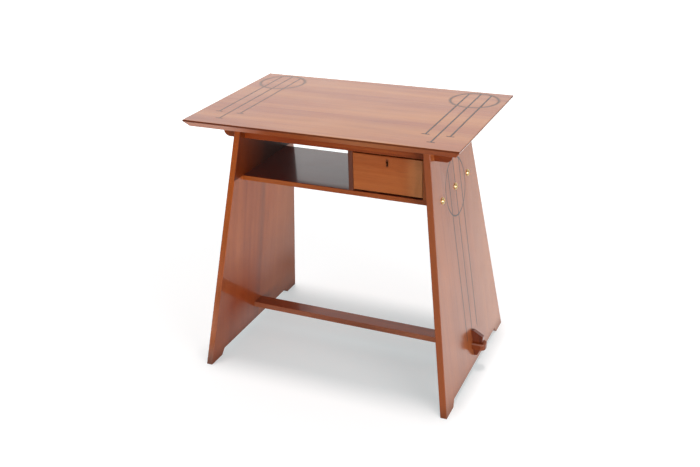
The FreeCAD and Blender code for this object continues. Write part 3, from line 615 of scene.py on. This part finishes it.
def cutSlot(piece, slot):
    bpy.ops.object.select_all(action="DESELECT")
    bpy.ops.mesh.primitive_cube_add(size=1.0, location=(0, 0, slot["floor"] + slot["depth"]))
    cutter = bpy.context.object
    cutter.scale = (slotCut["length"], slot["width"], 2.0 * slot["depth"])
    bpy.ops.object.transform_apply(location=True, rotation=True, scale=True)
    bpy.ops.object.select_all(action="DESELECT")
    piece.select_set(True)
    bpy.context.view_layer.objects.active = piece
    cut = piece.modifiers.new("slot", "BOOLEAN")
    cut.operation = "DIFFERENCE"
    cut.object = cutter
    bpy.ops.object.modifier_apply(modifier=cut.name)
    soften = piece.modifiers.new("soften", "BEVEL")
    soften.width = slotCut["soften"]
    soften.segments = slotCut["segments"]
    soften.limit_method = "ANGLE"
    soften.angle_limit = math.radians(slotCut["sharp"])
    bpy.ops.object.modifier_apply(modifier=soften.name)
    bpy.data.objects.remove(cutter)


# sets one copy of a turned piece at every spot, along its axis, and joins them
def setOut(model, name, look, spots):
    copies = []
    for count, (spot, axis) in enumerate(spots):
        copy = model.copy()
        copy.data = model.data.copy()
        bpy.context.scene.collection.objects.link(copy)
        outward = Vector(axis).normalized()
        level = Vector((0, 1, 0)) if abs(outward.y) < 0.5 else Vector((1, 0, 0))
        upright = outward.cross(level)
        turn = Matrix((level, upright, outward)).transposed().to_4x4()
        degrees = look.get("turned", (0.0,))
        twist = Matrix.Rotation(math.radians(degrees[count % len(degrees)]), 4, "Z")
        copy.matrix_world = Matrix.Translation(spot) @ turn @ twist
        copies.append(copy)
    bpy.ops.object.select_all(action="DESELECT")
    for copy in copies:
        copy.select_set(True)
    bpy.context.view_layer.objects.active = copies[0]
    bpy.ops.object.transform_apply(location=True, rotation=True, scale=True)
    bpy.ops.object.join()
    piece = bpy.context.object
    piece.name = name
    piece.data.materials.clear()
    piece.data.materials.append(brightBrass)
    return piece


cadCupRadius = 0.009  # finds the middles of the outer cups from their box


def fitShelfScrews():
    cup = turnedPiece("cup", screwCup)
    screw = turnedPiece("screw", cupScrew)
    for side, sign in (("left", -1.0), ("right", 1.0)):
        low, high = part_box(side + "_screw_cups")
        edge = low[0] if sign > 0 else high[0]
        x = edge + sign * cadCupRadius * math.sin(splay)
        z = low[2] + cadCupRadius * math.cos(splay)
        rows = (low[1] + cadCupRadius, 0.5 * (low[1] + high[1]), high[1] - cadCupRadius)
        spots = [((x, y, z), (sign * math.cos(splay), 0.0, math.sin(splay))) for y in rows]
        for model, name, look, node in ((cup, "Cups", screwCup, "_screw_cups"),
                                        (screw, "Screws", cupScrew, "_shelf_screws")):
            piece = setOut(model, side + name, look, spots)
            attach(piece, "frame")
            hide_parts(side + node)
    bpy.data.objects.remove(cup)
    bpy.data.objects.remove(screw)


smallScrews = {
    "lockInset": 0.0055,
    "topAcross": (-0.20, 0.0, 0.20),
    "pinAcross": (0.095, 0.153, 0.211),
    "pinInset": 0.006,
}


def fitSmallScrews():
    screw = turnedPiece("small", flushScrew)
    pin = turnedPiece("pin", panelPin)
    low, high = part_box("lock_case")
    inset = smallScrews["lockInset"]
    spots = [((x, high[1], z), (0, 1, 0)) for x in (low[0] + inset, high[0] - inset)
             for z in (low[2] + inset, high[2] - inset)]
    lockScrews = setOut(screw, "lockScrews", flushScrew, spots)
    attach(lockScrews, "drawer")
    spots = []
    for node in ("front_bearer", "back_bearer"):
        low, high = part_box(node)
        middle = 0.5 * (low[1] + high[1])
        spots += [((x, middle, low[2]), (0, 0, -1)) for x in smallScrews["topAcross"]]
    topScrews = setOut(screw, "topScrews", flushScrew, spots)
    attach(topScrews, "frame")
    low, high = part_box("drawer_bottom")
    back = high[1] - smallScrews["pinInset"]
    spots = [((x, back, low[2]), (0, 0, -1)) for x in smallScrews["pinAcross"]]
    bottomPins = setOut(pin, "bottomPins", panelPin, spots)
    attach(bottomPins, "drawer")
    bpy.data.objects.remove(screw)
    bpy.data.objects.remove(pin)


fitShelfScrews()
fitSmallScrews()
print("brass screws, cups and pins fitted")


# even studio light, with a white backdrop behind, and patches of floor at the sides that show in the polish as
# painted reflections
# of white cards: how bright the floor or the sky is from place to place, never above white
def brightness(spot, look):
    total = look["base"]
    for card in look["cards"]:
        total = rampMask(spot, card["ramps"]) * card["share"] + total
    return total.math("MINIMUM", 1.0)


def pathShare(paint, *kinds):
    share = 0.0
    for kind in kinds:
        share = paint.node("LightPath", out="Is %s Ray" % kind) + share
    return share.clip()


floorLook = {
    "size": 40.0,
    "white": (0.86, 0.90, 0.91),
    "shaded": (0.664, 0.600, 0.588),  # part of the seen floor's white that takes shadow
    "tint": (0.838, 0.973, 1.0),  # of the part that doesn't
    "glow": {"base": 0.456, "cards": [
        {"share": 0.60, "ramps": [("away", 0.9, 3.5)]},  # far from the desk
        {"share": 0.25, "ramps": [("right", 0.375, 0.45)]},  # painted light at its right, washing out part of the desk's shadow there
    ]},
    "mirror": {"base": 0.12, "cards": [  # painted reflections: how bright the floor looks in the polish, patch by patch; these patches light nothing
        {"share": 0.42, "ramps": [("back", -0.2, 0.3)]},  # foot of the backdrop
        {"share": 0.62, "ramps": [("right", 0.28, 0.42), ("back", -1.1, -0.35)]},  # painted reflection of a card at the right
        {"share": -0.36, "ramps": [("right", 0.60, 0.95), ("back", -1.1, -0.35)]},  # its far side
        {"share": 0.88, "ramps": [("right", -0.50, -0.60), ("right", -1.3, -1.0), ("back", -1.0, -0.45),
                                  ("back", 0.25, 0.0)]},  # painted reflection of a card at the left
        {"share": 0.60, "ramps": [("right", 0.50, 0.30), ("back", 1.1, 1.6)]},  # backdrop
        {"share": 0.16, "ramps": [("right", -0.14, -0.24), ("back", -0.35, -0.20),
                                  ("back", 0.36, 0.16)]},  # by the left end
        {"share": -0.28, "ramps": [("right", -0.20, -0.27), ("back", 0.02, 0.14),
                                   ("back", 0.56, 0.38)]},  # painted shade in the reflections behind it
    ]},
}


def makeFloor():
    bpy.ops.mesh.primitive_plane_add(size=floorLook["size"], location=(0, 0, 0))
    floor = bpy.context.object
    floor.name = "floor"
    paint = Finish(bpy.data.materials.new("floorWhite"))
    paint.tree.nodes.remove(paint.tree.nodes["Principled BSDF"])
    place = paint.node("TexCoord", out="Object")
    spot = {"right": paint.part(place, "X"), "back": paint.part(place, "Y")}
    spot["away"] = (spot["right"] * spot["right"] + spot["back"] * spot["back"]).math("SQRT")
    matt = paint.node("BsdfDiffuse", {}, {"Color": (*floorLook["white"], 1.0)})
    shaded = paint.node("BsdfDiffuse", {}, {"Color": (*floorLook["shaded"], 1.0)})
    white = paint.vector("MULTIPLY", floorLook["tint"], brightness(spot, floorLook["glow"]))
    seen = paint.node("AddShader", {}, {0: shaded, 1: paint.node("Emission", {}, {"Color": white})})
    mirror = paint.node("Emission", {}, {"Color": brightness(spot, floorLook["mirror"])})
    first = paint.node("MixShader", {}, {0: pathShare(paint, "Camera"), 1: matt, 2: seen})
    last = paint.node("MixShader", {}, {0: pathShare(paint, "Glossy", "Transmission"), 1: first, 2: mirror})
    paint.plug(paint.tree.nodes["Material Output"].inputs["Surface"], last)
    floor.data.materials.append(paint.owner)


skyLook = {
    "light": {"base": 0.40, "cards": [
        {"share": 0.08, "ramps": [("back", -0.5, 0.6)]},
        {"share": 0.08, "ramps": [("up", 0.2, 1.0)]},
        {"share": -0.20, "ramps": [("right", 0.2, 0.9)]},
        {"share": -0.18, "ramps": [("back", -0.2, -0.9)]},
    ]},
    "mirror": {"base": 0.12, "cards": [{"share": 0.88, "ramps": [("back", -0.5, 0.6)]}]},
}


def makeSky():
    sky = Finish(bpy.data.worlds.new("studioWhite"))
    bpy.context.scene.world = sky.owner
    way = sky.node("TexCoord", out="Generated")
    spot = {"right": sky.part(way, "X"), "back": sky.part(way, "Y"), "up": sky.part(way, "Z")}
    light = brightness(spot, skyLook["light"])
    mirror = brightness(spot, skyLook["mirror"])
    strength = light + pathShare(sky, "Glossy", "Transmission") * (mirror - light)
    strength = strength + pathShare(sky, "Camera") * (1.0 - strength)
    sky.plug(sky.tree.nodes["Background"].inputs["Color"], strength)


cardLook = {"at": (4.8, -3.2, 0.85), "aim": (0.0, 0.0, 0.45), "size": (2.6, 1.4), "watts": 200.0}


def makeCard():
    lamp = bpy.data.lights.new("card", "AREA")
    lamp.shape = "RECTANGLE"
    lamp.size, lamp.size_y = cardLook["size"]
    lamp.energy = cardLook["watts"]
    holder = bpy.data.objects.new("card", lamp)
    bpy.context.scene.collection.objects.link(holder)
    holder.location = cardLook["at"]
    aim = Vector(cardLook["aim"]) - holder.location
    holder.rotation_euler = aim.to_track_quat("-Z", "Y").to_euler()


sunLook = {"strength": 1.63, "angle": 10.0, "tilt": 0.5}


def makeSun():
    sun = bpy.data.lights.new("sun", "SUN")
    sun.energy = sunLook["strength"]
    sun.angle = math.radians(sunLook["angle"])
    holder = bpy.data.objects.new("sun", sun)
    bpy.context.scene.collection.objects.link(holder)
    holder.rotation_euler = (math.radians(-sunLook["tilt"]), 0.0, 0.0)
    holder.visible_glossy = False  # its disc would burn a spot into the polish


camera = {"azimuth": 24.55, "elevation": 24.88, "roll": -1.81, "lens": 47.07, "sensor": 36.0,
          "at": (0.9758, -2.1732, 1.4694)}


def makeCamera():
    azimuth, elevation, roll = (math.radians(camera[key]) for key in ("azimuth", "elevation", "roll"))
    back = Vector((math.sin(azimuth) * math.cos(elevation), -math.cos(azimuth) * math.cos(elevation),
                   math.sin(elevation)))
    right = (-back).cross(Vector((0, 0, 1))).normalized()
    up = right.cross(-back)
    level = math.cos(roll) * right + math.sin(roll) * up
    upright = math.cos(roll) * up - math.sin(roll) * right
    data = bpy.data.cameras.new("photoCamera")
    data.lens = camera["lens"]
    data.sensor_width = camera["sensor"]
    holder = bpy.data.objects.new("photoCamera", data)
    bpy.context.scene.collection.objects.link(holder)
    turn = Matrix((level, upright, back)).transposed().to_4x4()
    holder.matrix_world = Matrix.Translation(camera["at"]) @ turn
    bpy.context.scene.camera = holder


makeFloor()
makeSky()
makeSun()
makeCard()
makeCamera()
bpy.context.scene.view_settings.view_transform = "Standard"
print("floor, lamps and camera set")
